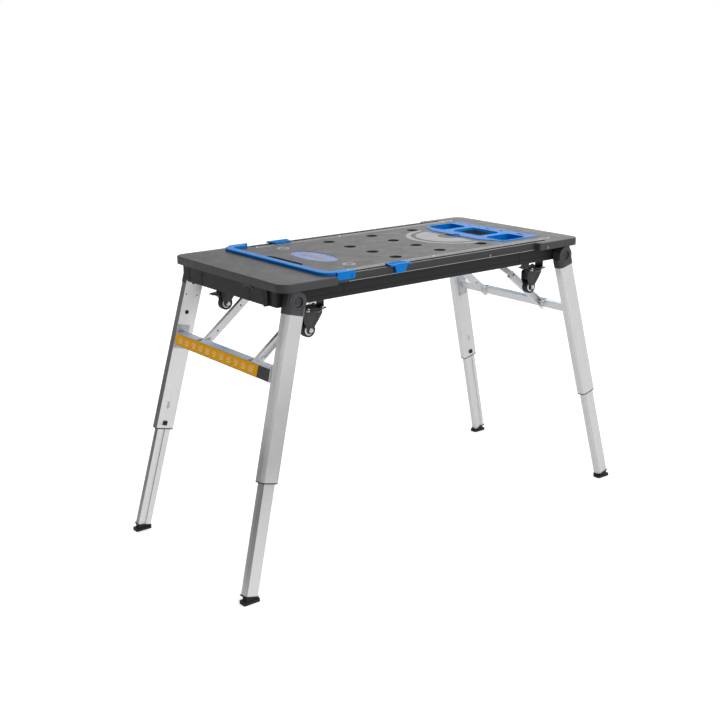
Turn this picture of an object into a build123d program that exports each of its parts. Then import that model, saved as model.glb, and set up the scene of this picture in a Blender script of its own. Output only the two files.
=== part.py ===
from build123d import *
import math
import os

# Folding work platform bench: deck on two splayed leg frames with telescoping legs,
# folding stays and four swivel casters under the deck.
# Millimetres, +Z up, X along the deck, -Y is the front, origin on the floor under the deck centre.
# Piece codes: l is -X, r is +X, f is the front (-Y), b is the back (+Y).

# ---------------------------------------------------------------- driving dimensions
# Across the deck, places are given as distances from the centre line, the same on both sides.
DECK_LENGTH = 1110.0
DECK_WIDTH = 543.2          # over the wide end sections
DECK_TOP = 812.0            # working surface
DECK_EDGE = 22.0            # visible edge thickness
CORNER_R = 32.0
STEP_X = 377.0              # where the wide end sections start
RAIL_Y = 254.0              # outer face of the side rails
RAIL_INNER_Y = 204.0
RAIL_X0, RAIL_X1 = -314.0, 440.0
SLOT_Y = (233.0, 245.0)     # mouth of the slot along each rail
UNDERCUT_Y = (230.0, 248.0)  # its wider lower part
SLOT_DEPTH = 12.0
STRIP_Y = (207.0, 227.0)    # recess of the rule strips
STRIP_X1 = 476.0
STRIP_DEPTH = 1.2
FITTING_Y = 262.0           # outer face of the handle ears and rail clips
FRAME_Y = 233.0             # outer face of the side aprons
FRAME_T = 8.0
FRAME_BOTTOM = 747.0
FRAME_END_X = 552.0
DOG_D = 36.0                # bench dog holes
DOG_COLUMNS = (-88.0, 78.0, 244.0)
DOG_INNER_Y, DOG_OUTER_Y = 52.0, 156.0
BADGE_CENTRE = (-258.0, -2.0)
BADGE_RX, BADGE_RY = 46.0, 95.0
BADGE_DEPTH = 2.3
BAIL_X, BAIL_Z = -322.0, 805.0               # handle pivot
PIVOT_X, PIVOT_Y, PIVOT_Z = 500.2, 235.5, 760.5   # leg pivot
PIN_R = 7.0
BOSS_Y = 264.0              # outer face of the leg heads at the pivot
SPLAY, FLARE = 14.37, 3.23  # leg tilt along and across the deck, degrees
CASTER_X, CASTER_Y = 418.0, 203.0            # swivel axis

HALF_LENGTH, HALF_WIDTH = DECK_LENGTH / 2, DECK_WIDTH / 2
DECK_BOTTOM = DECK_TOP - DECK_EDGE
SIDES = (-1, 1)


# ---------------------------------------------------------------- helpers
def box(x0, x1, y0, y1, z0, z1):
    centre = Pos((x0 + x1) / 2, (y0 + y1) / 2, (z0 + z1) / 2)
    return centre * Box(abs(x1 - x0), abs(y1 - y0), abs(z1 - z0))


def cyl_z(x, y, r, z0, z1):
    return Pos(x, y, (z0 + z1) / 2) * Cylinder(r, abs(z1 - z0))


def cyl_y(x, z, r, y0, y1):
    return Pos(x, (y0 + y1) / 2, z) * Rot(90, 0, 0) * Cylinder(r, abs(y1 - y0))


def poly(points):
    return make_face(Polyline(*points, close=True))


def slab_z(face, z, height):
    """Raise a plan face from level z."""
    return extrude(Plane.XY.offset(z) * face, height)


def slab_y(face, y0, y1):
    """Stretch a face drawn in (x, z) between two y places."""
    return Pos(0, max(y0, y1), 0) * extrude(Plane.XZ * face, abs(y1 - y0))


def mirror_y(shape):
    return mirror(shape, about=Plane.XZ)


def mirror_x(shape):
    return mirror(shape, about=Plane.YZ)


def four(shape):
    """The shape, its front-back mirror, then the left-right mirrors of both."""
    across = mirror_y(shape)
    return [shape, across, mirror_x(shape), mirror_x(across)]


def fuse(pieces):
    total = pieces[0]
    for piece in pieces[1:]:
        total = total + piece
    return total


def one(shape):
    """The shape as a plain single solid."""
    solids = shape.solids()
    if len(solids) != 1:
        raise ValueError(f"expected one solid, got {len(solids)}")
    return solids[0]


def group(shapes):
    return Compound([solid for shape in shapes for solid in shape.solids()])


def save(name, shape):
    export_step(shape, f"parts/{name}.step")


def fillet_try(shape, edges, r):
    # guards an edge rounding the kernel may refuse; the edges then stay sharp
    try:
        return fillet(edges, r)
    except Exception:
        return shape


def edges_at(shape, z):
    return [e for e in shape.edges() if abs(e.center().Z - z) < 1e-3]


os.makedirs("parts", exist_ok=True)

# ---------------------------------------------------------------- deck shell
SKIN = 5.0                  # top skin and outer walls
RIB_HALF_T = 1.5
RIB_TOP = DECK_TOP - 4
CROSS_RIBS_X = (-520, -440, -330, -171, -5, 161, 171, 262, 455, 520)
LONG_RIBS_Y = (-186, -104, 0, 104, 186)
DOG_HOLES = [(x, s * DOG_OUTER_Y) for x in DOG_COLUMNS for s in SIDES]
DOG_HOLES += [(x, s * DOG_INNER_Y) for x in DOG_COLUMNS[:2] for s in SIDES]
TRAY_SEAT_Z = DECK_TOP - 3.0
# tray rim outline (x, y)
TRAY_OUTLINE = [
    (283, -105), (283, 105), (316, 172), (322, 180),
    (467, 180), (467, -180), (322, -180), (316, -172),
]


def tray_centre_opening(growth, corner_r):
    """Plan of the tray's centre opening, over its surrounding wall when growth is 0."""
    return Pos(374, 0) * RectangleRounded(91 + growth, 129 + growth, corner_r)


def end_plan(side):
    with BuildSketch() as sketch:
        with Locations((side * (STEP_X + HALF_LENGTH) / 2, 0)):
            Rectangle(HALF_LENGTH - STEP_X, DECK_WIDTH)
        fillet([v for v in sketch.vertices() if abs(abs(v.X) - HALF_LENGTH) < 1], CORNER_R)
        steps = [v for v in sketch.vertices()
                 if abs(abs(v.X) - STEP_X) < 1 and abs(abs(v.Y) - HALF_WIDTH) < 1]
        fillet(steps, 6)
    return sketch.sketch


def underside_solids():
    """Ribs, hole collars and pads left standing in the hollow underside."""
    def pad(x0, x1, y0, y1):
        return box(x0, x1, y0, y1, DECK_BOTTOM, RIB_TOP)

    kept = [pad(x - RIB_HALF_T, x + RIB_HALF_T, -HALF_WIDTH, HALF_WIDTH) for x in CROSS_RIBS_X]
    kept += [pad(-HALF_LENGTH, HALF_LENGTH, y - RIB_HALF_T, y + RIB_HALF_T) for y in LONG_RIBS_Y]
    kept += [cyl_z(x, y, DOG_D / 2 + 4, DECK_BOTTOM, RIB_TOP) for x, y in DOG_HOLES]
    for side in SIDES:
        for sy in SIDES:
            kept.append(pad(side * 266, side * 316, sy * 112, sy * 152))      # stay mounts
            kept.append(pad(side * 535, side * 552, sy * 20, sy * 200))       # end aprons
        kept.append(pad(-HALF_LENGTH, HALF_LENGTH, side * 222, side * 236))   # side aprons
        kept.append(pad(RAIL_X0 - 6, RAIL_X1 + 8, side * 196, side * 258))    # side rails
        kept.append(pad(-382, -308, side * 236, side * 256))                  # handle ends
    kept.append(pad(-392, -338, -94, 94))                                     # finger slot
    kept.append(pad(308, 437, -187, 187))                                     # tray seat
    return fuse(kept)


def deck_shell():
    plan = end_plan(-1) + end_plan(1) + Rectangle(2 * STEP_X + 2, 2 * RAIL_Y)
    plan = plan.faces()[0]
    deck = slab_z(plan, DECK_BOTTOM, DECK_EDGE)
    top_edges = [e for e in deck.edges()
                 if abs(e.bounding_box().min.Z - DECK_TOP) < 1e-4
                 and abs(e.bounding_box().max.Z - DECK_TOP) < 1e-4
                 and abs(e.center().X) > STEP_X - 1]
    deck = fillet_try(deck, top_edges, 3.0)

    inner_plan = offset(plan, -SKIN, kind=Kind.INTERSECTION).faces()[0]
    hollow = slab_z(inner_plan, DECK_BOTTOM - 1, DECK_EDGE - SKIN + 1)
    deck = deck - (hollow - underside_solids())

    below, above = DECK_BOTTOM - 1, DECK_TOP + 1
    for sy in SIDES:        # rail seats and the ends of the strip recesses
        deck = deck - box(RAIL_X0, RAIL_X1, sy * RAIL_INNER_Y, sy * RAIL_Y, below, above)
        deck = deck - box(RAIL_X1 - 1, STRIP_X1, sy * STRIP_Y[0], sy * STRIP_Y[1],
                          DECK_TOP - STRIP_DEPTH, above)
    for x, y in DOG_HOLES:
        deck = deck - cyl_z(x, y, DOG_D / 2, below, above)
    # finger slot behind the handle
    finger_slot = Pos(-366, 0) * Rot(0, 0, 90) * SlotOverall(172, 36)
    deck = deck - slab_z(finger_slot, below, DECK_EDGE + 2)

    # tray: a seat for the rim, through openings for the wells and the centre
    seat = offset(poly(TRAY_OUTLINE), 0.5, kind=Kind.INTERSECTION).faces()[0]
    deck = deck - slab_z(seat, TRAY_SEAT_Z, 5)
    for sy in SIDES:
        deck = deck - box(318, 428, sy * 85, sy * 177, below, above)
    deck = deck - slab_z(tray_centre_opening(1, 16.5), below, DECK_EDGE + 2)
    # finger notch beside the tray rim
    deck = deck - slab_z(Pos(278, 0) * SlotOverall(36, 36), TRAY_SEAT_Z, 5)
    deck = deck - box(262, 290, -30, 30, TRAY_SEAT_Z, DECK_TOP + 2)

    badge_seat = Pos(*BADGE_CENTRE) * Ellipse(BADGE_RX + 0.3, BADGE_RY + 0.3)
    return one(deck - slab_z(badge_seat, DECK_TOP - BADGE_DEPTH, 4))


save("deck_shell", deck_shell())


# ---------------------------------------------------------------- side rails, rule strips
def front_rail():
    start, slot_end, end = RAIL_X0 - 1, RAIL_X1 - 8, RAIL_X1 + 1
    slot_z, above = DECK_TOP - SLOT_DEPTH, DECK_TOP + 1
    r = box(RAIL_X0, RAIL_X1, -RAIL_Y, -RAIL_INNER_Y, DECK_BOTTOM, DECK_TOP)
    r = r - box(start, slot_end, -SLOT_Y[1], -SLOT_Y[0], slot_z, above)
    r = r - box(start, slot_end, -UNDERCUT_Y[1], -UNDERCUT_Y[0], slot_z, DECK_TOP - 5)
    r = r - box(start, end, -STRIP_Y[1], -STRIP_Y[0], DECK_TOP - STRIP_DEPTH, above)
    # channel in the underside
    r = r - box(start, end, -226, -208, DECK_BOTTOM - 1, DECK_BOTTOM + 14)
    # groove along the outer face
    r = r - box(start, STEP_X - 6, -RAIL_Y - 1, -RAIL_Y + 1.0, DECK_BOTTOM + 6, DECK_BOTTOM + 9)
    return one(r)


def front_strip():
    gap = 0.1
    return box(RAIL_X0 + 1, STRIP_X1 - 1, -STRIP_Y[1] + gap, -STRIP_Y[0] - gap,
               DECK_TOP - STRIP_DEPTH, DECK_TOP + 0.1)


save("rail_front", front_rail())
save("rail_back", one(mirror_y(front_rail())))
save("rule_strips", group([front_strip(), mirror_y(front_strip())]))

# ---------------------------------------------------------------- badge and printed marks
MARK_X = 262.0              # centre of the half-round scale
TICK_RADIUS = 113


def badge():
    def oval(inset):
        return Ellipse(BADGE_RX - inset, BADGE_RY - inset)

    plate = slab_z(Pos(*BADGE_CENTRE) * oval(0), DECK_TOP - BADGE_DEPTH, 1.6)
    band = Pos(*BADGE_CENTRE) * (oval(2) - oval(5))
    return one(plate + slab_z(band, DECK_TOP - 0.7, 0.4))


def printed(sketch):
    return slab_z(sketch, DECK_TOP, 0.3)


def half_ring(r0, r1):
    """Ring about the scale centre, cut off 4 mm to the left of it."""
    ring = Pos(MARK_X, 0) * (Circle(r1) - Circle(r0))
    return printed(ring & Pos(MARK_X - 4 - 200, 0) * Rectangle(400, 400))


def printed_marks():
    marks = [half_ring(121, 136), half_ring(38, 105)]
    for degrees in range(105, 270, 15):
        a = math.radians(degrees)
        centre = Pos(MARK_X + TICK_RADIUS * math.cos(a), TICK_RADIUS * math.sin(a))
        marks.append(printed(centre * Rot(0, 0, degrees) * Rectangle(8, 1.6)))
    for sy in SIDES:
        marks.append(printed(Pos(-254, sy * DOG_OUTER_Y) * (Circle(18.5) - Circle(11.5))))
    return group(marks)


save("badge", badge())
save("printed_marks", printed_marks())


# ---------------------------------------------------------------- under frame
def under_frame():
    web_y = FRAME_Y - FRAME_T / 2       # webs end inside the aprons
    low, high = FRAME_BOTTOM, DECK_BOTTOM
    frame = fuse([box(-545, 545, s * FRAME_Y, s * (FRAME_Y - FRAME_T), low, high) for s in SIDES])
    for sx in SIDES:
        end_x = sx * FRAME_END_X
        pad_in, pad_out = sx * (CASTER_X - 36), sx * (CASTER_X + 36)
        frame = frame + box(sx * (FRAME_END_X - 7), end_x, -200, 200, low, high)
        for sy in SIDES:
            edge_y = sy * web_y
            # corner joints
            frame = frame + box(sx * 538, sx * 545.5, sy * 196, edge_y, low, high)
            frame = frame + box(sx * 538, end_x, sy * 194, sy * 200, low, high)
            # caster pad between two webs
            frame = frame + box(pad_in, pad_out, sy * 168, edge_y, low, low + 6)
            frame = frame + box(pad_in, pad_in + sx * 4, sy * 178, edge_y, low, high)
            frame = frame + box(pad_out - sx * 4, pad_out, sy * 168, edge_y, low, high)
            # pivot boss inside the side apron
            frame = frame + cyl_y(sx * PIVOT_X, PIVOT_Z, 13.4, sy * 215, sy * 228)
            # small lug under the end apron
            frame = frame + box(sx * (FRAME_END_X - 20), sx * (FRAME_END_X - 4),
                                sy * 176, sy * 182, low - 5, low + 10)
        frame = frame + box(sx * 446, sx * 450, -web_y, web_y, low, high)
        frame = frame + box(sx * 204, sx * 208, -web_y, web_y, 775, high)
    frame = frame + box(-3, 3, -web_y, web_y, 775, high)
    for sy in SIDES:        # grooves along the outer faces
        frame = frame - box(-470, 470, sy * FRAME_Y, sy * (FRAME_Y - 1.2), low + 12, low + 15)
    return one(frame)


save("under_frame", under_frame())


# ---------------------------------------------------------------- leg pivot pins
def pivot_cyl(r, y0, y1):
    """Cylinder on the left leg pivot axis."""
    return cyl_y(-PIVOT_X, PIVOT_Z, r, y0, y1)


def pivot_pin():
    pin = pivot_cyl(PIN_R, -256.0, -FRAME_Y) + pivot_cyl(13.0, -260.0, -256.0)
    return one(pin - pivot_cyl(8.0, -261.0, -258.8))


save("pivot_pins", group(four(pivot_pin())))


# ---------------------------------------------------------------- deck fasteners
def side_screw(x, z, face_y):
    screw = cyl_y(x, z, 4.2, -(face_y + 1.6), -face_y)
    return one(screw - box(x - 3, x + 3, -(face_y + 2), -(face_y + 0.8), z - 0.5, z + 0.5))


def bail_screw():
    head_y = -FITTING_Y - 0.2
    shank = cyl_y(BAIL_X, BAIL_Z, 3.0, head_y, -RAIL_Y)
    return one(shank + cyl_y(BAIL_X, BAIL_Z, 5.5, head_y - 2, head_y))


def top_screw(x, y):
    screw = cyl_z(x, y, 3.6, DECK_TOP, DECK_TOP + 1.2)
    driver_slot = box(x - 2.6, x + 2.6, y - 0.5, y + 0.5, DECK_TOP + 0.6, DECK_TOP + 2)
    return one(screw - driver_slot)


front_screws = [
    side_screw(185.0, 796.4, RAIL_Y),
    side_screw(409.0, 796.6, HALF_WIDTH),
    bail_screw(),
    top_screw(392, -262.0),
]
save("deck_screws", group(front_screws + [mirror_y(s) for s in front_screws]))

# ---------------------------------------------------------------- fold-up handle
FITTING_Z = DECK_TOP + 0.3   # underside of the handle and clips
BAIL_TOP = DECK_TOP + 8
# plan outline (x, y), open towards +X
BAIL_OUTLINE = [
    (-408, -256), (-329, -256), (-329, -232), (-384, -232),
    (-384, 232), (-329, 232), (-329, 256), (-408, 256),
]
# side view of an ear (x, z)
BAIL_EAR = [(-373, BAIL_TOP), (-315, BAIL_TOP), (-315, 802), (-318, 799), (-368, 799), (-373, 804)]


def bail_handle():
    with BuildSketch() as sketch:
        with BuildLine():
            Polyline(*BAIL_OUTLINE, close=True)
        make_face()
        fillet([v for v in sketch.vertices() if v.X < -400], 40)
        fillet([v for v in sketch.vertices() if -390 < v.X < -380], 18)
    handle = slab_z(sketch.sketch, FITTING_Z, 7.7)
    rounded = [e for e in edges_at(handle, BAIL_TOP) if e.center().X < -330]
    handle = fillet_try(handle, rounded, 2.5)
    ear = slab_y(poly(BAIL_EAR), -FITTING_Y, -254.4)
    handle = handle + ear + mirror_y(ear)
    for sy in SIDES:
        handle = handle - cyl_y(BAIL_X, BAIL_Z, 3.08, sy * 250, sy * (FITTING_Y + 0.2))
    return one(handle)


save("bail_handle", bail_handle())


# ---------------------------------------------------------------- rail clips
def clip(x):
    """Front clip: a top plate, a T-shaped foot in the rail slot and an outer tab."""
    gap = 0.4
    plate = poly([(x - 37.5, -FITTING_Y), (x + 37.5, -FITTING_Y), (x + 28, -226), (x - 28, -226)])
    body = slab_z(plate, FITTING_Z, 4.9)
    body = fillet_try(body, edges_at(body, DECK_TOP + 5.2), 1.2)
    body = body + box(x - 20, x + 20, -SLOT_Y[1] + gap, -SLOT_Y[0] - gap,
                      DECK_TOP - 8, DECK_TOP + 1)
    body = body + box(x - 20, x + 20, -UNDERCUT_Y[1] + gap, -UNDERCUT_Y[0] - gap,
                      DECK_TOP - 11.0, DECK_TOP - 5.5)
    tab = poly([(x - 22, DECK_TOP + 1), (x + 22, DECK_TOP + 1), (x + 15, 793), (x - 15, 793)])
    return one(body + slab_y(tab, -FITTING_Y, -255.9))


save("clip_front", clip(-157.0))
save("clip_back", one(mirror_y(clip(-205.0))))

# ---------------------------------------------------------------- lift-out tool tray
WELL_Y, WELL_WIDTH, WELL_WALL = 131, 78, 3
WELL_BOTTOM = 776
CENTRE_WALL_BOTTOM = 807
HOLDER_X = 447              # row of tool holes
ROUND_HOLES = [(152, 7.0), (106, 9.0), (61, 10.0), (22, 10.0)]   # (y, diameter)
LONG_HOLES = [(-38, 18.0), (-119, 28.0)]                         # (y, length)


def tool_tray():
    tray = slab_z(poly(TRAY_OUTLINE), DECK_TOP - 2.9, 4.4)
    tray = fillet_try(tray, edges_at(tray, DECK_TOP + 1.5), 1.2)
    half_well = WELL_WIDTH / 2 + WELL_WALL
    for sy in SIDES:
        y = sy * WELL_Y
        tray = tray + box(322, 423, y - half_well, y + half_well, WELL_BOTTOM, DECK_TOP)
    tray = tray + slab_z(tray_centre_opening(0, 16.0), CENTRE_WALL_BOTTOM,
                         DECK_TOP - CENTRE_WALL_BOTTOM)
    for sy in SIDES:
        well = Pos(372.5, sy * WELL_Y) * RectangleRounded(95, WELL_WIDTH, 14)
        tray = tray - slab_z(well, WELL_BOTTOM + WELL_WALL, 60)
    tray = tray - slab_z(tray_centre_opening(-5, 14), 700, 200)
    # finger notch in the rim
    tray = tray - slab_z(Pos(284, 0) * SlotOverall(30, 30), DECK_TOP - 1.4, 5)
    for y, d in ROUND_HOLES:
        tray = tray - cyl_z(HOLDER_X, y, d / 2, DECK_TOP - 4, DECK_TOP + 4)
    for y, length in LONG_HOLES:
        hole = Pos(HOLDER_X, y) * Rot(0, 0, 90) * SlotOverall(length, 10)
        tray = tray - slab_z(hole, DECK_TOP - 4, 9)
    return one(tray)


save("tool_tray", tool_tray())

# ---------------------------------------------------------------- leg frames
# All built as the left front leg. A tube section is (width, depth, depth of the straight
# sides, width of the outer face); places down the leg are measured from the pivot.
UPPER = (55.3, 28.0, 21.6, 38.0)
LOWER = (41.8, 23.1, 16.4, 32.8)
UPPER_START, UPPER_END = 24.0, 468.0
LOWER_START, LOWER_END = 370.0, 768.0
LOWER_INSET = 2.4           # lower tube's inner face, outward of the upper tube's
WALL = 2.0                  # upper tube wall
HEAD_TOP = 788.4
BRACKET_T = 2.5
SOLE_X, SOLE_Y = -692.5, -292.0

tan_splay, tan_flare = math.tan(math.radians(SPLAY)), math.tan(math.radians(FLARE))
norm = math.sqrt(1 + tan_splay ** 2 + tan_flare ** 2)
leg_down = Vector(-tan_splay / norm, -tan_flare / norm, -1 / norm)
leg_out = Vector(0, -math.cos(math.radians(FLARE)), math.sin(math.radians(FLARE)))
leg_out = (leg_out - leg_down * leg_out.dot(leg_down)).normalized()
leg_across = leg_out.cross(leg_down)
if leg_across.X < 0:
    leg_across = leg_across * -1
# local x runs inward along the deck, y inward across it, z up the leg
LEG = Plane(origin=Vector(-PIVOT_X, -PIVOT_Y, PIVOT_Z), x_dir=leg_across, z_dir=leg_down * -1)


def leg_box(x0, x1, out0, out1, down0, down1):
    """Local box: across the leg, outward from the upper tube's inner face, down the leg."""
    return box(x0, x1, -out0, -out1, -down1, -down0)


def section(size, growth=(0, 0, 0, 0), inset=0.0):
    width, depth, side, face = (a + b for a, b in zip(size, growth))
    h, f = width / 2, face / 2
    return poly([(h * -1, -inset), (h, -inset), (h, -inset - side), (f, -inset - depth),
                 (-f, -inset - depth), (-h, -inset - side)])


def prism(face, down0, down1):
    return slab_z(face, -down1, down1 - down0)


def place(shape):
    return LEG.location * shape


def button_stem(margin, out0, out1):
    return leg_box(-7.0 - margin, 0.2 + margin, out0, out1, 448.0 - margin, 456.0 + margin)


def upper_tube():
    bore = section(UPPER, (-2 * WALL, -2 * WALL, -WALL - 0.35, -1.4), WALL)
    tube = prism(section(UPPER), UPPER_START, UPPER_END)
    tube = tube - prism(bore, UPPER_START - 1, UPPER_END + 1)
    tube = tube - button_stem(0.5, -1, WALL + 0.5)      # release button window
    tube = tube - cyl_y(-6, -118, 4.0, -4, 4)           # hole in the inner face
    return one(place(one(tube)))


def lower_tube():
    start, end = LOWER_START - 1, LOWER_END + 1
    bore = section(LOWER, (-3.6, -6.2, -5.2, -1.6), LOWER_INSET + 4.4)
    tube = prism(section(LOWER, inset=LOWER_INSET), LOWER_START, LOWER_END)
    tube = tube - prism(bore, start, end)
    # channel down the inner face, two grooves down each side
    tube = tube - leg_box(-9.4, 2.6, LOWER_INSET - 1, LOWER_INSET + 2.6, start, end)
    side_x = LOWER[0] / 2
    for s in SIDES:
        for out in (LOWER_INSET + 5.0, LOWER_INSET + 11.0):
            tube = tube - leg_box(s * (side_x - 0.6), s * (side_x + 1), out, out + 1.4, start, end)
    return one(place(one(tube)))


def collar():
    ring = prism(section(UPPER), UPPER_END, UPPER_END + 3.4)
    opening = section(LOWER, (0.6, 0.6, 0.3, 0.6), LOWER_INSET - 0.3)
    return one(place(one(ring - prism(opening, UPPER_END - 1, UPPER_END + 5))))


def leg_head():
    """Moulded head round the pivot and the top of the upper tube."""
    outline = section(UPPER, (3.0, 1.45, 1.05, 2.2))
    head = place(prism(outline, 6.0, 35.0))
    # the end-side cheek runs straight up beside the pivot,
    # the other side is round so the leg can swing
    limit = place(leg_box(-40, 0, -5, 40, -24, 7)) + pivot_cyl(26.5, -270, -230)
    cheek = place(prism(outline, -24.0, 7.0)) & limit
    cheek = cheek & box(-700, -300, -BOSS_Y, -PIVOT_Y, 600, HEAD_TOP)
    head = head + cheek + pivot_cyl(26.5, -BOSS_Y, -PIVOT_Y)
    head = head & box(-700, -300, -300, -PIVOT_Y, 600, HEAD_TOP)
    head = head - place(prism(section(UPPER), UPPER_START, 90.0))
    head = head - pivot_cyl(PIN_R + 0.06, -270, -230)
    head = head - pivot_cyl(14.0, -270, -255.8)
    # trim what stands proud of the boss, and keep the main body
    head = head - pivot_cyl(20.0, -275, -BOSS_Y)
    return one(max(head.solids(), key=lambda s: s.volume))


def foot():
    """Foot with a level, grooved sole."""
    socket = section(LOWER, (4, 3, 1.5, 3), LOWER_INSET - 1.5)
    flange = place(prism(socket, LOWER_END, LOWER_END + 3.0))
    neck = place(leg_box(-15, 15, LOWER_INSET + 2, LOWER_INSET + LOWER[1] - 2,
                         LOWER_END, LOWER_END + 30))
    neck = neck & box(-900, 0, -400, 0, 6.0, 60)
    sole = slab_z(Pos(SOLE_X, SOLE_Y) * RectangleRounded(50, 27, 5), 0, 8.0)
    for k in range(-3, 4):
        x = SOLE_X + k * 6.4
        sole = sole - box(x - 0.8, x + 0.8, SOLE_Y - 20, SOLE_Y + 20, -1, 1.0)
    body = flange + neck + sole
    tube = prism(section(LOWER, inset=LOWER_INSET), LOWER_START, LOWER_END)
    return one(body - place(tube))


def release_button():
    button = button_stem(0, -0.2, WALL + 0.1) + leg_box(-9.8, 3.0, -3.2, -1.8, 445.4, 458.6)
    return one(place(one(button + button_stem(0, -2.4, 0))))


def rung_bracket():
    """Plate with four rivet heads on the upper tube's inner face."""
    plate = leg_box(-25, 12, -BRACKET_T, 0.0, 156, 226)
    for x, down in ((-18, 163), (4, 163), (-18, 220.5), (5, 220.5)):
        plate = plate + cyl_y(x, -down, 3.0, 2.4, 4.0)
    return one(place(one(plate)))


for name, shape in (("upper_tube", upper_tube()), ("lower_tube", lower_tube()),
                    ("foot", foot()), ("release_button", release_button())):
    for code, copy in zip(("lf", "lb", "rf", "rb"), four(shape)):
        save(f"{name}_{code}", one(copy))
for name, shape in (("leg_heads", leg_head()), ("collars", collar()),
                    ("rung_brackets", rung_bracket())):
    copies = four(shape)
    save(f"{name}_left", group(copies[:2]))
    save(f"{name}_right", group(copies[2:]))

# ---------------------------------------------------------------- rungs
RUNG_DEPTH = 27.65
RUNG_OUT, RUNG_IN = 181.0, 174.0            # top of the outer and inner faces, down the leg
RUNG_OUT_END = RUNG_OUT + 34.0
RUNG_IN_END = RUNG_IN + 22.0
STAY_DOWN, STAY_INWARD = 177.0, 8.0         # lower stay pivot, down and inward of the leg
STAY_PIN_R = 3.5
LEG_SHADOW = math.cos(math.atan(tan_flare * math.cos(math.radians(SPLAY))))  # length seen in XZ


def leg_xz(inward, down):
    """(x, z) of a point given inward of the left leg's axis and down the leg."""
    cos, sin = math.cos(math.radians(SPLAY)), math.sin(math.radians(SPLAY))
    down = down * LEG_SHADOW
    return (-PIVOT_X + inward * cos - down * sin, PIVOT_Z - inward * sin - down * cos)


STAY_FOOT = leg_xz(STAY_INWARD, STAY_DOWN)


def sweep(points, y0, y1):
    """Profile of (inward, down) points, swept straight across the bench."""
    return slab_y(poly([leg_xz(*p) for p in points]), y0, y1)


def trim_to_legs(shape, gap):
    cutter = place(leg_box(-80, 80, -gap, 60, 100, 300))
    return shape - cutter - mirror_y(cutter)


def rung_cover():
    """Cover let into the rung's outer face."""
    face, back = -RUNG_DEPTH, -RUNG_DEPTH + 1.6
    cover = sweep([(face, RUNG_OUT + 0.8), (back, RUNG_OUT + 0.8),
                   (back, RUNG_OUT_END - 1.9), (face, RUNG_OUT_END - 1.0)], -262, 262)
    return one(trim_to_legs(cover, 9.5))


def left_rung():
    outer = [(-RUNG_DEPTH, RUNG_OUT), (0, RUNG_IN), (0, RUNG_IN_END), (-RUNG_DEPTH, RUNG_OUT_END)]
    bore = [(-RUNG_DEPTH + 2.4, RUNG_OUT + 1.9), (-2.2, RUNG_IN + 2.8),
            (-2.2, RUNG_IN_END - 1.0), (-RUNG_DEPTH + 2.4, RUNG_OUT_END - 4.2)]
    rung = sweep(outer, -262, 262) - sweep(bore, -270, 270)
    rung = trim_to_legs(rung, BRACKET_T) - rung_cover()
    # slots that let the stay ends swing
    for sy in SIDES:
        rung = rung - cyl_y(*STAY_FOOT, 33.0, sy * 122.9, sy * 137.2)
    # ears on the inner side, with a headed pin through each pair
    ear_x = STAY_INWARD + 7
    ear = [(-1.5, 178), (0, 174), (ear_x, 168), (ear_x, 185), (0, 195), (-1.5, 193)]
    for sy in SIDES:
        for y in (121.6, 143.0):
            rung = rung + sweep(ear, sy * y - 1.2, sy * y + 1.2)
        rung = rung + cyl_y(*STAY_FOOT, STAY_PIN_R, sy * 120.4, sy * 144.2)
        rung = (rung + cyl_y(*STAY_FOOT, 6.0, sy * 144.2, sy * 145.6)
                + cyl_y(*STAY_FOOT, 6.0, sy * 119.0, sy * 120.4))
    return one(rung)


for name, shape in (("rung", left_rung()), ("rung_cover", rung_cover())):
    save(f"{name}_left", shape)
    save(f"{name}_right", one(mirror_x(shape)))

# ---------------------------------------------------------------- folding stays
# Built on the left at the back, then mirrored. Pivots are (x, z).
STAY_LOWER_LENGTH, STAY_LOWER_ANGLE = 167.0, 38.0
STAY_UPPER_LENGTH, STAY_UPPER_ANGLE = 135.63, 32.8487


def step_along(start, length, angle):
    a = math.radians(angle)
    return (start[0] + length * math.cos(a), start[1] + length * math.sin(a))


STAY_ELBOW = step_along(STAY_FOOT, STAY_LOWER_LENGTH, STAY_LOWER_ANGLE)
STAY_TOP = step_along(STAY_ELBOW, STAY_UPPER_LENGTH, STAY_UPPER_ANGLE)


def tilted(face, start, angle, y0, y1):
    return Pos(start[0], y1, start[1]) * (Rot(0, -angle, 0) * extrude(Plane.XZ * face, y1 - y0))


def round_bar(start, length, angle, half, y0, y1):
    face = Pos(length / 2, 0) * SlotOverall(length + 2 * half, 2 * half)
    return tilted(face, start, angle, y0, y1)


def lower_flat(start, t0, t1, half, y0, y1):
    """Square-ended bar along the lower stay, from t0 to t1 past the start."""
    face = Pos((t0 + t1) / 2, 0) * Rectangle(t1 - t0, 2 * half)
    return tilted(face, start, STAY_LOWER_ANGLE, y0, y1)


def stay_lower():
    """Channel open towards the back, cut square past the elbow and past the rung."""
    y0, y1, half = 124.0, 136.0, 11.0
    length = STAY_LOWER_LENGTH
    stay = round_bar(STAY_FOOT, length, STAY_LOWER_ANGLE, half, y0, y1)
    stay = (stay + lower_flat(STAY_ELBOW, -6.0, 8.0, half, y0, y1)
            + lower_flat(STAY_FOOT, -30.0, 6.0, half, y0, y1))
    channel = (round_bar(STAY_FOOT, length, STAY_LOWER_ANGLE, half - 2, y0 + 2.2, y1 + 1)
               + lower_flat(STAY_FOOT, -31.0, length + 12.0, half - 2, y0 + 2.2, y1 + 1))
    stay = stay & lower_flat(STAY_FOOT, -30.0, length + 8.0, half, y0 - 3, y1 + 1)
    stay = stay - channel
    stay = stay - cyl_y(*STAY_FOOT, STAY_PIN_R + 0.05, 100, 160)
    stay = stay + cyl_y(*STAY_ELBOW, 5.0, y0 + 1, y1) + cyl_y(*STAY_ELBOW, 4.2, y0 - 1.2, y0)
    return one(stay)


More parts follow.
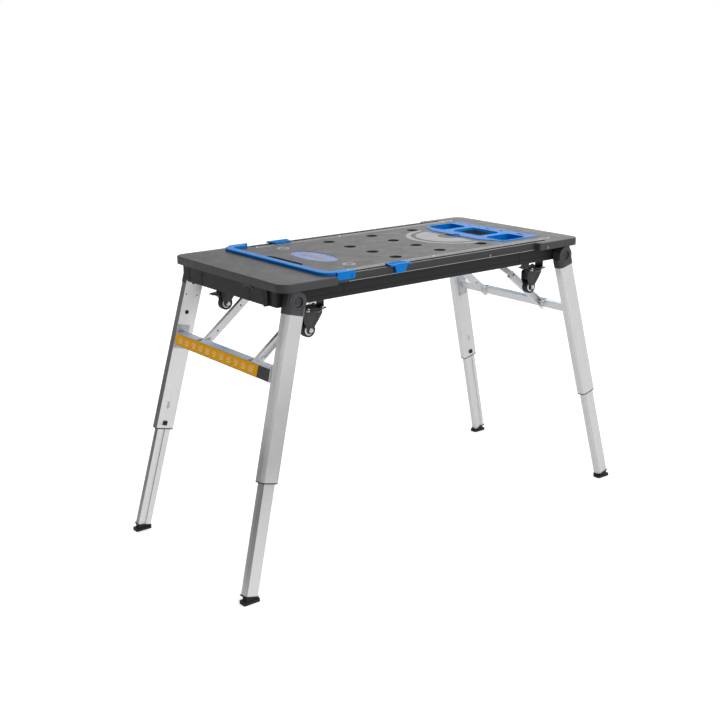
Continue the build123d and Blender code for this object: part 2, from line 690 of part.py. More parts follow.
def stay_upper():
    y0, y1 = 136.5, 140.5
    stay = round_bar(STAY_ELBOW, STAY_UPPER_LENGTH, STAY_UPPER_ANGLE, 8.5, y0, y1)
    stay = stay - cyl_y(*STAY_TOP, STAY_PIN_R + 0.05, 100, 160)
    return one(stay + cyl_y(*STAY_ELBOW, 6.0, y1, y1 + 1.6))


def stay_mount():
    x, z = STAY_TOP
    mount = box(x - 16, x + 16, 126, 148, DECK_BOTTOM - 3, DECK_BOTTOM)
    mount = mount + box(x - 9, x + 9, 144.0, 146.4, z - 9, DECK_BOTTOM)
    return one(mount + cyl_y(x, z, STAY_PIN_R, 136.7, 146.4) + cyl_y(x, z, 6.0, 141.4, 144.0))


for name, shape in (("stay_lower", stay_lower()), ("stay_upper", stay_upper())):
    for code, copy in zip(("lb", "lf", "rb", "rf"), four(shape)):
        save(f"{name}_{code}", one(copy))
save("stay_mounts", group(four(stay_mount())))

# ---------------------------------------------------------------- casters
TRAIL = 12.0                # wheel axle behind the swivel axis, towards -X
WHEEL_R, WHEEL_WIDTH, AXLE_Z = 20.0, 20.0, 667.0
AXLE_R, SWIVEL_R, PEDAL_PIN_R = 3.5, 4.0, 2.0
PLATE_Z = 723.0             # underside of the caster plates
PEDAL_X, PEDAL_Z = -TRAIL - 12, 697.5       # pedal pivot, x from the swivel axis
CHEEK_IN, CHEEK_OUT = 12.0, 14.4            # fork cheek faces, from the wheel's mid plane
CASTERS = {
    "lf": (-CASTER_X, -CASTER_Y), "lb": (-CASTER_X, CASTER_Y),
    "rf": (CASTER_X, -CASTER_Y), "rb": (CASTER_X, CASTER_Y),
}
BRAKED = ("lb", "rb")
# fork cheek (x from the swivel axis, z)
CHEEK = [
    (-28, PLATE_Z - 5), (27, PLATE_Z - 5), (27, PLATE_Z - 13), (15, 692),
    (-TRAIL + 10.5, 672), (-TRAIL + 7.0, 658.5), (-TRAIL, 656.5), (-TRAIL - 7.0, 658.5),
    (-TRAIL - 10.5, 672), (-31, 691), (-31, PLATE_Z - 10),
]
# brake pedal (x from the swivel axis, z from the pedal pivot)
PEDAL = [
    (PEDAL_X + 6, 3), (PEDAL_X - 8, 4.5), (-57, 1.5), (-60, -1.0), (-56, -1.6),
    (PEDAL_X - 16, -3.0), (PEDAL_X - 14, -9.0), (PEDAL_X - 8, -11.0), (PEDAL_X - 4, -6.5),
    (PEDAL_X + 5, -4.5),
]


def caster_mount(cx, cy):
    """Plate hung on two bent side straps, with four screws and the swivel pin."""
    z = PLATE_Z
    mount = box(cx - 32, cx + 32, cy - 26, cy + 26, z, z + 3)
    for s in SIDES:
        for inner_x, low in ((29, z + 2), (17, 744.5)):
            mount = mount + box(cx + s * 32, cx + s * inner_x, cy - 15, cy + 15, low, FRAME_BOTTOM)
        for t in SIDES:
            x, y = cx + s * 23, cy + t * 20
            mount = mount + cyl_z(x, y, 4.2, z - 1.6, z) + cyl_z(x, y, 4.6, z + 3, z + 6)
    return one(mount + cyl_z(cx, cy, SWIVEL_R, z - 11, z) + cyl_z(cx, cy, 7.5, z - 13.5, z - 9.5))


def caster_fork(cx, cy, braked):
    axle = (cx - TRAIL, AXLE_Z)
    fork = (cyl_z(cx, cy, 25.0, PLATE_Z - 8.5, PLATE_Z - 3)
            + cyl_z(cx, cy, 19.0, PLATE_Z - 3, PLATE_Z - 0.8))
    cheek = poly([(cx + x, z) for x, z in CHEEK])
    for s in SIDES:
        fork = fork + slab_y(cheek, cy + s * CHEEK_IN, cy + s * CHEEK_OUT)
        fork = fork + cyl_y(*axle, 6.0, cy + s * CHEEK_OUT, cy + s * 17.2)
    fork = fork + cyl_y(*axle, AXLE_R, cy - CHEEK_OUT, cy + CHEEK_OUT)
    fork = one(fork - cyl_z(cx, cy, SWIVEL_R + 0.06, 690, PLATE_Z + 5))
    if braked:
        fork = one(fork + cyl_y(cx + PEDAL_X, PEDAL_Z, PEDAL_PIN_R, cy - 14, cy + 14))
    return fork


def caster_wheel(cx, cy):
    axle = (cx - TRAIL, AXLE_Z)
    wheel = cyl_y(*axle, WHEEL_R, cy - WHEEL_WIDTH / 2, cy + WHEEL_WIDTH / 2)
    wheel = fillet_try(wheel, [e for e in wheel.edges() if e.geom_type == GeomType.CIRCLE], 2.5)
    for s in SIDES:         # dished faces round the hub
        wheel = wheel - (cyl_y(*axle, 14.5, cy + s * 8.2, cy + s * 11)
                         - cyl_y(*axle, 7.5, cy + s * 8, cy + s * 11.2))
    wheel = wheel + cyl_y(*axle, 6.5, cy - 11.2, cy + 11.2)
    return one(wheel - cyl_y(*axle, AXLE_R + 0.06, cy - 20, cy + 20))


def brake_pedal(cx, cy):
    pivot = (cx + PEDAL_X, PEDAL_Z)
    pedal = slab_y(poly([(cx + x, PEDAL_Z + z) for x, z in PEDAL]), cy - 9.5, cy + 9.5)
    # two-pronged toe end
    pedal = pedal - box(cx - 70, cx - 45, cy - 3.5, cy + 3.5, PEDAL_Z - 10, PEDAL_Z + 10)
    pedal = pedal + cyl_y(*pivot, 4.5, cy - 11.4, cy + 11.4)
    return one(pedal - cyl_y(*pivot, PEDAL_PIN_R + 0.06, cy - 20, cy + 20))


save("caster_mounts", group([caster_mount(*c) for c in CASTERS.values()]))
for code, (cx, cy) in CASTERS.items():
    save(f"caster_fork_{code}", caster_fork(cx, cy, code in BRAKED))
    save(f"caster_wheel_{code}", caster_wheel(cx, cy))
    if code in BRAKED:
        save(f"brake_pedal_{code}", brake_pedal(cx, cy))
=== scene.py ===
"""Folding work platform on four telescopic legs, with casters stowed under its deck.

The deck runs along X and the floor is z = 0, in metres. Left is -X, right is +X, front is -Y
and back is +Y. The CAD pieces get materials and rounded edges; fittings are added on top.
"""
import math

import bmesh
import bpy
import numpy as np
from mathutils import Matrix, Vector

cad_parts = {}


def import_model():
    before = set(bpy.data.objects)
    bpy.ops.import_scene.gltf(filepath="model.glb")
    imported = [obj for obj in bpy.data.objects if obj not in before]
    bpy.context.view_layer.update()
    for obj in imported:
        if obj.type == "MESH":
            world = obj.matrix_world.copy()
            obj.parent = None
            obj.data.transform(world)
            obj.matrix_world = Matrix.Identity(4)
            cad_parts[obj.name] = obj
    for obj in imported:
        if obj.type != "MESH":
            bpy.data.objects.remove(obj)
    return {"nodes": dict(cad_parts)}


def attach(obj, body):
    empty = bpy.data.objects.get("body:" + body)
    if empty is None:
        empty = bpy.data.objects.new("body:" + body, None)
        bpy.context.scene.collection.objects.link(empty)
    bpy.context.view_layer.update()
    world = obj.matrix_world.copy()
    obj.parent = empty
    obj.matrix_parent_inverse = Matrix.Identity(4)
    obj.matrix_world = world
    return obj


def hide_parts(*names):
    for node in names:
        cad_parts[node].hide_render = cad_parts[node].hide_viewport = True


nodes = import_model()["nodes"]
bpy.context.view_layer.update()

X, Y, Z = Vector((1, 0, 0)), Vector((0, 1, 0)), Vector((0, 0, 1))
SIGNS = (-1, 1)
# corner code: signs of x and y
CORNERS = {"lf": (-1, -1), "lb": (-1, 1), "rf": (1, -1), "rb": (1, 1)}
BRAKED_CORNERS = ("lb", "rb")
SIDES = {"left": -1, "right": 1}
FACES = {"front": -1, "back": 1}

DECK_TOP = 0.812
# pivot of the right back leg; the other three mirror it
PIVOT_X, PIVOT_Y, PIVOT_Z = 0.5002, 0.2355, 0.7605
LEAN_X = math.radians(14.37)
LEAN_Y = math.radians(3.23)


# ------------------------------------------------------------------ shader nodes
def set_inputs(tree, node, inputs):
    """Fill a node's inputs: sockets are linked, anything else becomes the input's value."""
    for key, value in inputs.items():
        if isinstance(value, bpy.types.NodeSocket):
            tree.links.new(value, node.inputs[key])
        else:
            node.inputs[key].default_value = value


def add_node(tree, kind, inputs=None, **settings):
    node = tree.nodes.new("ShaderNode" + kind)
    for key, value in settings.items():
        setattr(node, key, value)
    set_inputs(tree, node, inputs or {})
    return node


def new_material(name):
    """Material holding one Principled shader."""
    material = bpy.data.materials.new(name)
    material.use_nodes = True
    tree = material.node_tree
    tree.nodes.clear()
    shader = add_node(tree, "BsdfPrincipled")
    add_node(tree, "OutputMaterial", {0: shader.outputs[0]})
    return material, tree, shader


def object_coords(tree, scale=(1, 1, 1)):
    source = add_node(tree, "TexCoord").outputs["Object"]
    return add_node(tree, "Mapping", {"Vector": source, "Scale": scale}).outputs[0]


def noise(tree, vector, scale, detail, roughness, distortion=0.0):
    return add_node(tree, "TexNoise", {
        "Vector": vector, "Scale": scale, "Detail": detail,
        "Roughness": roughness, "Distortion": distortion}).outputs["Fac"]


def ramp(tree, factor, stops):
    """Colour ramp through (position, RGBA) stops."""
    node = add_node(tree, "ValToRGB", {0: factor})
    elements = node.color_ramp.elements
    while len(elements) > 1:
        elements.remove(elements[-1])
    elements[0].position, elements[0].color = stops[0]
    for position, colour in stops[1:]:
        elements.new(position).color = colour
    return node.outputs[0]


def map_range(tree, value, source, target, **settings):
    """Map the source (min, max) onto the target (min, max)."""
    return add_node(tree, "MapRange", {
        0: value, "From Min": source[0], "From Max": source[1],
        "To Min": target[0], "To Max": target[1]}, **settings).outputs[0]


def calc(tree, operation, first, second):
    return add_node(tree, "Math", {0: first, 1: second}, operation=operation).outputs[0]


def mix(tree, factor, first, second, blend_type="MIX"):
    """Colour mix; a plain number stands for a grey."""
    first, second = [(v, v, v, 1) if isinstance(v, float) else v for v in (first, second)]
    return add_node(tree, "Mix", {0: factor, 6: first, 7: second},
                    data_type="RGBA", blend_type=blend_type).outputs[2]


def bump(tree, height, strength, distance):
    return add_node(tree, "Bump", {
        "Height": height, "Strength": strength, "Distance": distance}).outputs[0]


# ------------------------------------------------------------------ materials
def srgb(colour):
    """Linear RGBA of an 8-bit sRGB colour."""
    def linear(value):
        value /= 255.0
        return value / 12.92 if value <= 0.04045 else ((value + 0.055) / 1.055) ** 2.4
    return tuple(linear(value) for value in colour) + (1,)


def plastic(name, dark, light, rough, grain, grain_strength, specular, coat):
    """Moulded plastic: spark-eroded grain, faint flow blotches and an uneven sheen."""
    material, tree, shader = new_material(name)
    vector = object_coords(tree)
    blotch = noise(tree, vector, scale=9.0, detail=5.0, roughness=0.6)
    fine = noise(tree, vector, scale=grain, detail=3.0, roughness=0.6)
    medium = noise(tree, vector, scale=grain * 0.33, detail=2.0, roughness=0.5)
    smudge = noise(tree, vector, scale=22.0, detail=6.0, roughness=0.7, distortion=0.4)
    height = calc(tree, "ADD", fine, calc(tree, "MULTIPLY", medium, 0.6))
    set_inputs(tree, shader, {
        "Base Color": ramp(tree, blotch, [(0.3, srgb(dark)), (0.75, srgb(light))]),
        "Roughness": map_range(tree, smudge, source=(0.3, 0.75),
                               target=(rough - 0.06, rough + 0.1)),
        "Specular IOR Level": specular,
        "Coat Weight": coat,
        "Coat Roughness": 0.25,
        "Normal": bump(tree, height, strength=grain_strength, distance=0.0006)})
    return material


def brushed(name, colour, rough, axis, metallic):
    """Brushed metal: fine streaks along one axis, with handling marks."""
    material, tree, shader = new_material(name)
    # noise is stretched along the drawing direction
    stretch = tuple(3 if letter == axis else 400 for letter in "xyz")
    streak = noise(tree, object_coords(tree, stretch), scale=1.0, detail=6.0, roughness=0.65)
    blotch = noise(tree, object_coords(tree), scale=14.0, detail=5.0, roughness=0.6)
    bright = tuple(min(1, c * 1.06) for c in colour) + (1,)
    dull = tuple(c * 0.9 for c in colour) + (1,)
    streak_rough = map_range(tree, streak, source=(0.2, 0.8),
                             target=(rough - 0.05, rough + 0.07))
    mark_rough = map_range(tree, blotch, source=(0.3, 0.8), target=(0.0, 0.08))
    set_inputs(tree, shader, {
        "Base Color": ramp(tree, streak, [(0.25, dull), (0.8, bright)]),
        "Roughness": calc(tree, "ADD", streak_rough, mark_rough),
        "Metallic": metallic,
        "Anisotropic": 0.35,
        "Normal": bump(tree, streak, strength=0.05, distance=0.0003)})
    return material


# painted shade and painted reflection on the left legs' tubes: (height z, grey) stops
BACK_END_PAINTED_SHADE = [(0.02, 0.60), (0.14, 0.39), (0.38, 0.24), (0.60, 0.33)]
FRONT_END_PAINTED_SHADE = [(0.02, 0.86), (0.10, 0.55), (0.24, 0.47), (0.365, 0.545), (0.487, 1.0)]
FRONT_BROAD_PAINTED_SHADE = [(0.02, 1.0), (0.10, 0.93), (0.24, 0.77), (0.365, 0.59), (0.487, 0.60),
                     (0.633, 0.73)]


def drawn_tube_painted_shade():
    """Drawn aluminium: brushed metal with die lines on faces towards -X, and painted shade and
    painted reflection that vary with facing, leg and height.
    """
    material = brushed("drawn_tube_painted_shade", (0.975, 0.98, 0.985), rough=0.38, axis="z", metallic=0.80)
    tree = material.node_tree
    shader = next(node for node in tree.nodes if node.type == "BSDF_PRINCIPLED")
    metal_colour = shader.inputs["Base Color"].links[0].from_socket
    coords = add_node(tree, "TexCoord")
    normal = add_node(tree, "SeparateXYZ", {0: coords.outputs["Normal"]})
    place = add_node(tree, "SeparateXYZ", {0: coords.outputs["Object"]})
    # painted shade masks: 1 on faces towards -X, on the left half and on the front half
    painted_shade_facing_mask = map_range(tree, normal.outputs[0], source=(-0.92, -0.25), target=(1.0, 0.0))
    left = map_range(tree, place.outputs[0], source=(-0.01, 0.01), target=(1.0, 0.0))
    front = map_range(tree, place.outputs[1], source=(-0.01, 0.01), target=(1.0, 0.0))

    def painted_shade_by_height(painted_greys):
        return ramp(tree, place.outputs[2], [(z, (v, v, v * 1.01, 1)) for z, v in painted_greys])

    # painted shade and painted reflection: greys by height on the left legs, a flat 0.80 grey on
    # the right legs' broad faces
    left_end_painted_shade = mix(tree, front, painted_shade_by_height(BACK_END_PAINTED_SHADE), painted_shade_by_height(FRONT_END_PAINTED_SHADE))
    end = mix(tree, left, 1.0, left_end_painted_shade)
    broad_painted_shade = mix(tree, left, 0.80, mix(tree, front, 1.0, painted_shade_by_height(FRONT_BROAD_PAINTED_SHADE)))
    # die lines, tilted to follow the leg's lean in Y
    line_vector = add_node(tree, "Mapping", {
        "Vector": coords.outputs["Object"], "Rotation": (0.0564, 0.0, 0.0)}).outputs[0]
    lines = add_node(tree, "TexWave", {"Vector": line_vector, "Scale": 62.0, "Distortion": 0.0},
                     wave_type="BANDS", bands_direction="Y")
    band = map_range(tree, lines.outputs["Fac"], source=(0.55, 0.9), target=(1.0, 0.72))
    lined_end_painted_shade = mix(tree, 1.0, end, band, "MULTIPLY")
    # faces towards -X take the end painted shade with die lines, the other faces take the broad
    # painted shade
    painted_shade = mix(tree, painted_shade_facing_mask, broad_painted_shade, lined_end_painted_shade)
    set_inputs(tree, shader, {"Base Color": mix(tree, 1.0, metal_colour, painted_shade, "MULTIPLY")})
    return material


# name, sRGB base, sRGB blotches, roughness, grain scale, grain strength, specular, coat
PLASTICS = {
    "deck": ("deck_top_plastic", (54, 53, 56), (62, 61, 64), 0.40, 1400, 0.12, 0.50, 0),
    "frame": ("frame_plastic", (28, 28, 30), (33, 33, 35), 0.44, 1000, 0.12, 0.30, 0),
    "head": ("head_plastic", (58, 58, 61), (66, 66, 69), 0.36, 1000, 0.10, 0.5, 0),
    "rail": ("rail_black", (42, 42, 44), (47, 47, 49), 0.33, 1500, 0.05, 0.5, 0),
    "blue": ("blue_plastic", (0, 118, 203), (0, 126, 211), 0.34, 1200, 0.05, 0.12, 0),
    "badge": ("badge_blue", (44, 86, 160), (56, 98, 172), 0.28, 1500, 0.03, 0.5, 0.2),
    "print": ("printed_marks", (160, 160, 162), (170, 170, 172), 0.5, 1400, 0.08, 0.5, 0),
    "steel": ("black_steel", (34, 34, 36), (42, 42, 44), 0.30, 700, 0.07, 0.6, 0.15),
    "rubber": ("rubber", (38, 38, 40), (46, 46, 48), 0.62, 500, 0.16, 0.35, 0),
    "tyre": ("tyre", (32, 32, 34), (40, 40, 42), 0.5, 500, 0.12, 0.4, 0),
    "ring": ("wheel_ring", (238, 240, 242), (244, 246, 248), 0.4, 1000, 0.05, 0.5, 0),
    "label": ("label_film", (255, 178, 10), (255, 184, 16), 0.5, 1500, 0.03, 0.06, 0),
    "label_pale": ("label_pale", (250, 226, 170), (252, 232, 186), 0.4, 1500, 0.03, 0.5, 0),
    # painted shade: near-black discs standing for the shade inside punched holes
    "hole_shade": ("painted_hole_shade", (16, 16, 17), (22, 22, 23), 0.6, 900, 0.05, 0.3, 0),
    # pale blue film on the rung's top, made near white as a painted highlight
    "film": ("pale_blue_film_painted_highlight", (238, 247, 254), (150, 208, 246), 0.18, 1500, 0.02, 0.5, 0.6),
    "pin": ("pin_cap", (50, 50, 53), (56, 56, 59), 0.3, 900, 0.06, 0.5, 0),
}
# name, linear colour, roughness, streak axis, metallic
METALS = {
    "alu": ("anodised_aluminium", (0.90, 0.905, 0.915), 0.38, "z", 0.80),
    "alu_y": ("anodised_aluminium_cross", (0.84, 0.85, 0.87), 0.36, "y", 0.8),
    "alu_x": ("anodised_strip", (0.66, 0.67, 0.69), 0.30, "x", 0.9),
    "stay": ("stay_metal", (0.84, 0.85, 0.87), 0.38, "x", 0.75),
    "zinc": ("zinc_plate", (0.72, 0.72, 0.70), 0.25, "y", 1.0),
    "alu_dark": ("aluminium_pressed", (0.60, 0.605, 0.62), 0.42, "z", 0.9),
    "strip": ("rule_strip_dark", (0.16, 0.16, 0.17), 0.34, "x", 0.8),
    "screw": ("dark_screw", (0.30, 0.30, 0.31), 0.32, "y", 1.0),
}
# the tube material holds painted shade and painted reflection
materials = {"tube": drawn_tube_painted_shade()}
materials.update({key: plastic(*row) for key, row in PLASTICS.items()})
materials.update({key: brushed(*row) for key, row in METALS.items()})

# ------------------------------------------------------------------ CAD pieces
# piece: material and edge-round width (0 only welds, None leaves the mesh as it is)
PIECES = {
    "deck_shell": ("deck", 0.0006), "under_frame": ("frame", 0.0008),
    "rail_front": ("rail", 0.0003), "rail_back": ("rail", 0.0003),
    "rule_strips": ("strip", 0), "badge": ("badge", 0), "printed_marks": ("print", 0),
    "pivot_pins": ("pin", 0.0003), "caster_mounts": ("steel", 0.0004),
    "stay_mounts": ("zinc", 0.0003), "deck_screws": ("screw", 0.0002),
    "bail_handle": ("blue", 0.0012), "tool_tray": ("blue", 0.0005),
    "clip_front": ("blue", 0.0006), "clip_back": ("blue", 0.0006),
}
SIDE_PIECES = {
    "leg_heads": ("head", 0.0007), "collars": ("head", 0.0003), "rung": ("alu_y", 0.0003),
    "rung_cover": ("head", 0.0003), "rung_brackets": ("alu_dark", 0.0003),
}
CORNER_PIECES = {
    "upper_tube": ("tube", 0.0003), "lower_tube": ("tube", 0.0003), "foot": ("rubber", 0.0006),
    "release_button": ("frame", 0.0004), "stay_lower": ("stay", 0.0003),
    "stay_upper": ("stay", 0.0003), "caster_fork": ("steel", 0.0004),
    "caster_wheel": ("tyre", None),
}
for group, suffixes in ((SIDE_PIECES, SIDES), (CORNER_PIECES, CORNERS),
                        ({"brake_pedal": ("steel", 0.0003)}, BRAKED_CORNERS)):
    for suffix in suffixes:
        PIECES.update({stem + "_" + suffix: look for stem, look in group.items()})

BLUE_SCREWS_X = -0.30  # deck screws left of this are blue
ROUND_ANGLE = math.radians(34.0)


def set_material(piece, key):
    slots = nodes[piece].data.materials
    if not slots:
        slots.append(materials[key])
    for i in range(len(slots)):
        slots[i] = materials[key]


def colour_left_screws():
    screws = nodes["deck_screws"]
    slots = screws.data.materials
    slots.append(materials["blue"])
    for polygon in screws.data.polygons:
        if (screws.matrix_world @ polygon.center).x < BLUE_SCREWS_X:
            polygon.material_index = len(slots) - 1


def add_bevel(obj, width, angle):
    bevel = obj.modifiers.new("bevel", "BEVEL")
    bevel.width = width
    bevel.segments = 2
    bevel.limit_method = "ANGLE"
    bevel.angle_limit = angle
    bevel.harden_normals = True
    return bevel


def soften(piece, width):
    """Weld the shading seams and round the sharp edges, as modifiers over the mesh."""
    obj = nodes[piece]
    mesh = obj.data
    places = np.zeros(len(mesh.vertices) * 3, np.float32)
    mesh.vertices.foreach_get("co", places)
    # vertices in one place share an id, so edges split by a seam are seen as one
    cells = np.round(places.reshape(-1, 3) * 2e6).astype(np.int64)
    _, ids = np.unique(cells, axis=0, return_inverse=True)
    ids = np.asarray(ids).ravel()
    edge_normals = {}
    for polygon in mesh.polygons:
        corners = [int(ids[v]) for v in polygon.vertices]
        normal = polygon.normal.copy()
        for a, b in zip(corners, corners[1:] + corners[:1]):
            if a != b:
                edge_normals.setdefault((min(a, b), max(a, b)), []).append(normal)
    flattest = math.cos(ROUND_ANGLE)
    if mesh.attributes.get("custom_normal"):
        mesh.attributes.remove(mesh.attributes["custom_normal"])
    for polygon in mesh.polygons:
        polygon.use_smooth = True
    for edge in mesh.edges:
        a, b = (int(ids[v]) for v in edge.vertices)
        normals = edge_normals.get((min(a, b), max(a, b)), [])
        edge.use_edge_sharp = not (len(normals) == 2 and normals[0].dot(normals[1]) > flattest)
    weld = obj.modifiers.new("weld", "WELD")
    weld.merge_threshold = 2e-6
    if width:
        bevel = add_bevel(obj, width, ROUND_ANGLE)
        bevel.use_clamp_overlap = True
        bevel.miter_outer = "MITER_ARC"


for piece, (key, _) in PIECES.items():
    set_material(piece, key)
colour_left_screws()
for piece, (_, width) in PIECES.items():
    if width is not None and len(nodes[piece].data.polygons):
        soften(piece, width)


# ------------------------------------------------------------------ outlines
def rect(x0, x1, y0, y1):
    return [(x0, y0), (x1, y0), (x1, y1), (x0, y1)]


def ridge(base, top, height, bottom=0):
    """Trapezium section; base and top are half widths."""
    return [(-base, bottom), (base, bottom), (top, height), (-top, height)]


def rounded_rect(width, height, radius, steps=5, centre=(0, 0)):
    points = []
    for sign_x, sign_y, start in ((1, 1, 0), (-1, 1, 90), (-1, -1, 180), (1, -1, 270)):
        for i in range(steps + 1):
            angle = math.radians(start + 90 * i / steps)
            points.append((
                centre[0] + sign_x * (width / 2 - radius) + radius * math.cos(angle),
                centre[1] + sign_y * (height / 2 - radius) + radius * math.sin(angle)))
    return points


def circle(centre_x, radius, steps):
    turns = [2 * math.pi * i / steps for i in range(steps)]
    return [(centre_x + radius * math.cos(a), radius * math.sin(a)) for a in turns]


def mirrored(half):
    """A (radius, height) profile followed by its mirror image in height."""
    return half + [(radius, -height) for radius, height in reversed(half)]


# ------------------------------------------------------------------ shapes: (vertices, faces)
def band_faces(start, next_start, count):
    """Quads between two closed rings of vertices."""
    return [(start + i, start + (i + 1) % count, next_start + (i + 1) % count, next_start + i)
            for i in range(count)]


def lathe(profile, segments, origin, axis, closed=False):
    """Turn (radius, height) points about the y or z axis through origin."""
    verts, faces = [], []
    count = len(profile)
    for i in range(segments):
        angle = 2 * math.pi * i / segments
        for radius, height in profile:
            x, y, z = radius * math.cos(angle), radius * math.sin(angle), height
            if axis == "y":
                y, z = z, y
            verts.append((x + origin[0], y + origin[1], z + origin[2]))
    for i in range(segments):
        j = (i + 1) % segments
        for k in range(count if closed else count - 1):
            m = (k + 1) % count
            faces.append((i * count + k, j * count + k, j * count + m, i * count + m))
    return verts, faces


def extrude(outline, origin, axes, start, end):
    """Pull an outline in the first two axes along the third, from start to end."""
    origin = Vector(origin)
    across, up, along = axes
    count = len(outline)
    verts = [origin + across * p[0] + up * p[1] + along * d for d in (start, end)
             for p in outline]
    faces = [tuple(range(count))[::-1], tuple(range(count, 2 * count))]
    return verts, faces + band_faces(0, count, count)


def stacked_rings(origin, axis, rings, count):
    """Closed solid through (radius, height) rings standing along axis from origin."""
    axis = Vector(axis).normalized()
    across = axis.orthogonal().normalized()
    other = axis.cross(across)
    verts, faces = [], []
    for radius, height in rings:
        for i in range(count):
            angle = 2 * math.pi * i / count
            verts.append(Vector(origin) + across * (radius * math.cos(angle))
                         + other * (radius * math.sin(angle)) + axis * height)
    for k in range(len(rings) - 1):
        faces += band_faces(k * count, (k + 1) * count, count)
    last = (len(rings) - 1) * count
    faces.append(tuple(range(last, last + count)))
    faces.append(tuple(range(count))[::-1])
    return verts, faces


def hex_head(origin, axis, flats, height):
    """Hexagon bolt head with a chamfered top; flats is the width across flats."""
    radius = flats / 2 / math.cos(math.pi / 6)
    rings = [(radius, 0), (radius, height * 0.8), (radius * 0.86, height)]
    return stacked_rings(origin, axis, rings, count=6)


def dome(origin, axis, radius, height):
    """Domed rivet or button head."""
    steps = 4
    rings = []
    for k in range(steps + 1):
        angle = (math.pi / 2) * k / steps
        spread = math.cos(angle) if k < steps else 0.02
        rings.append((radius * spread, height * math.sin(angle)))
    return stacked_rings(origin, axis, rings, count=20)


def slab(outer, inner, y0, y1):
    """Plate between two parallel edges, each a pair of (x, z) points, from y0 to y1."""
    verts = [(p[0], y, p[1]) for a, b in (outer, inner)
             for p, y in ((a, y0), (b, y0), (b, y1), (a, y1))]
    return verts, [(4, 5, 6, 7), (0, 1, 2, 3), (0, 1, 5, 4), (1, 2, 6, 5), (2, 3, 7, 6),
                   (3, 0, 4, 7)]


# ------------------------------------------------------------------ adding a part
def smooth_by_angle(mesh, angle):
    for polygon in mesh.polygons:
        polygon.use_smooth = True
    mesh.update()
    bm = bmesh.new()
    bm.from_mesh(mesh)
    bmesh.ops.remove_doubles(bm, verts=bm.verts, dist=1e-7)
    bmesh.ops.recalc_face_normals(bm, faces=bm.faces)
    limit = math.radians(angle)
    for edge in bm.edges:
        edge.smooth = len(edge.link_faces) == 2 and edge.calc_face_angle(0.0) < limit
    bm.to_mesh(mesh)
    bm.free()


def link_mesh(name, verts, faces, material):
    mesh = bpy.data.meshes.new(name)
    mesh.from_pydata(verts, [], faces)
    obj = bpy.data.objects.new(name, mesh)
    bpy.context.scene.collection.objects.link(obj)
    mesh.materials.append(material)
    return obj


def add_part(name, shapes, material, body, bevel=0.0, angle=32.0, smooth=True):
    """Join shapes into one object that moves with body and takes its colour from material."""
    verts, faces = [], []
    for shape_verts, shape_faces in shapes:
        first = len(verts)
        verts += [tuple(v) for v in shape_verts]
        faces += [tuple(i + first for i in face) for face in shape_faces]
    obj = link_mesh(name, verts, faces, materials[material])
    if smooth:
        smooth_by_angle(obj.data, angle)
    if bevel:
        add_bevel(obj, bevel, math.radians(35))
    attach(obj, body)
    return obj


# ------------------------------------------------------------------ casters
SWIVEL_X, CASTER_Y, AXLE_Z = 0.418, 0.203, 0.667
TRAIL = 0.012  # the axle lies this far to the left of the swivel axis
PLATE_BOTTOM, PLATE_TOP = 0.7230, 0.7260
PLATE_BOLT_X, PLATE_BOLT_Y = 0.023, 0.020
SPOKE_RADIUS = 0.0079
BEAD_WIDTH = 0.002
BEAD_TOP, BEAD_BOTTOM = 0.046, 0.008  # above the axle
# wheel profiles: (radius, offset along the axle)
TYRE_PROFILE = mirrored([
    (0.0146, -0.0090), (0.0158, -0.0099), (0.0174, -0.0100), (0.0188, -0.0094),
    (0.0196, -0.0082), (0.0199, -0.0064), (0.0200, -0.0022), (0.0195, -0.0016),
]) + [(0.0138, 0.0)]
RING_PROFILE = mirrored([
    (0.0090, -0.0084), (0.0096, -0.0094), (0.0104, -0.0097), (0.0132, -0.0094),
    (0.0140, -0.0088), (0.0147, -0.0080)])
HUB_PROFILE = mirrored([
    (0.0, -0.0106), (0.0036, -0.0106), (0.0052, -0.0111), (0.0064, -0.0104),
    (0.0066, -0.0070), (0.0092, -0.0064)])
WASHER_PROFILE = [(0.0, 0.0), (0.0058, 0.0), (0.0064, 0.0004), (0.0064, 0.0010), (0.0, 0.0010)]
# (radius, height z)
RACE_PROFILE = [
    (0.0240, 0.7138), (0.0258, 0.7140), (0.0268, 0.7152), (0.0272, 0.7174),
    (0.0268, 0.7194), (0.0258, 0.7202), (0.0240, 0.7204)]


def add_wheel(corner, centre):
    body = "wheel_" + corner
    tyre = add_part("tyre_" + corner, [lathe(TYRE_PROFILE, 72, centre, "y", closed=True)],
                    "tyre", body, angle=50)
    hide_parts("caster_wheel_" + corner)
    add_part("wheel_ring_" + corner, [lathe(RING_PROFILE, 72, centre, "y", closed=True)],
             "ring", body, angle=50)
    add_part("wheel_hub_" + corner, [lathe(HUB_PROFILE, 48, centre, "y")],
             "steel", body, angle=40)
    spokes = []
    for k in range(6):
        c, s = math.cos(math.pi / 3 * k), math.sin(math.pi / 3 * k)
        place = (centre[0] + SPOKE_RADIUS * c, centre[1], centre[2] + SPOKE_RADIUS * s)
        spokes.append(extrude(rounded_rect(0.0016, 0.004, 0.0005, steps=2), place,
                              (Vector((-s, 0, c)), Vector((c, 0, s)), Y), -0.0088, 0.0088))
    add_part("wheel_spokes_" + corner, spokes, "steel", body)


